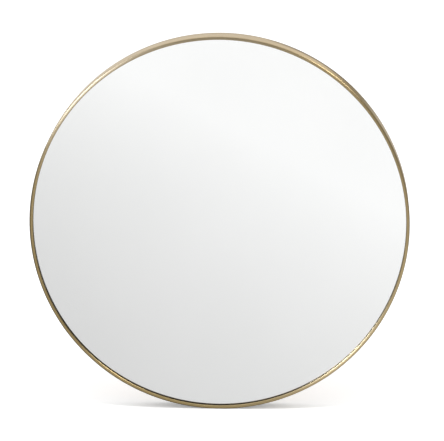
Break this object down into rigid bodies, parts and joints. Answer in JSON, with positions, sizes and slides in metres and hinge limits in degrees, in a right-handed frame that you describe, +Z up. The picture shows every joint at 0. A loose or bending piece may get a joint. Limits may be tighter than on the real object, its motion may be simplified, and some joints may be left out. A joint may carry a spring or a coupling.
{
  "type": "round wall mirror",
  "caption": "Round wall mirror in a deep, thin brushed-metal hoop, with a board behind the glass and swinging ring hangers on its back.",
  "frame": {"origin": "centre of the hoop on the plane of the wall, which is the plane of the four bumpers' faces", "axes": "+Z up, +Y from the mirror into the wall, so the glass faces -Y, and +X to the right of someone looking into the glass"},
  "size_m": [0.6, 0.042, 0.6],
  "materials": {
    "hoop_metal": "brushed along the hoop and anodised antique brass",
    "mirror": "silvered float glass with a polished edge",
    "seal": "matt black glazing strip",
    "foam": "white closed-cell foam tape",
    "board": "bare medium-density fibreboard",
    "zinc": "bright zinc-plated steel",
    "bumper": "matt rubber pad"
  },
  "bodies": {
    "root": {"frame_hoop": "hoop_metal", "joint_block": "zinc", "joint_screws": "zinc", "glazing_gasket": "seal", "mirror_glass": "mirror", "backing_board": "board", "left_hanger_strap": "zinc", "right_hanger_strap": "zinc", "left_hanger_screws": "zinc", "right_hanger_screws": "zinc", "upper_right_bumper": "bumper", "upper_left_bumper": "bumper", "lower_left_bumper": "bumper", "lower_right_bumper": "bumper", "tape_strip_1": "foam", "tape_strip_2": "foam", "tape_strip_3": "foam", "tape_strip_4": "foam", "tape_strip_5": "foam"},
    "left_ring": {"left_hanger_ring": "zinc"},
    "right_ring": {"right_hanger_ring": "zinc"}
  },
  "joints": [
    {"name": "left_ring_swing", "type": "hinge", "parent": "root", "child": "left_ring", "pos_m": [-0.17925, -0.02092, 0.15041], "axis": [1, 0, 0], "range_deg": [0, 180]},
    {"name": "right_ring_swing", "type": "hinge", "parent": "root", "child": "right_ring", "pos_m": [0.17925, -0.02092, 0.15041], "axis": [1, 0, 0], "range_deg": [0, 180]}
  ]
}
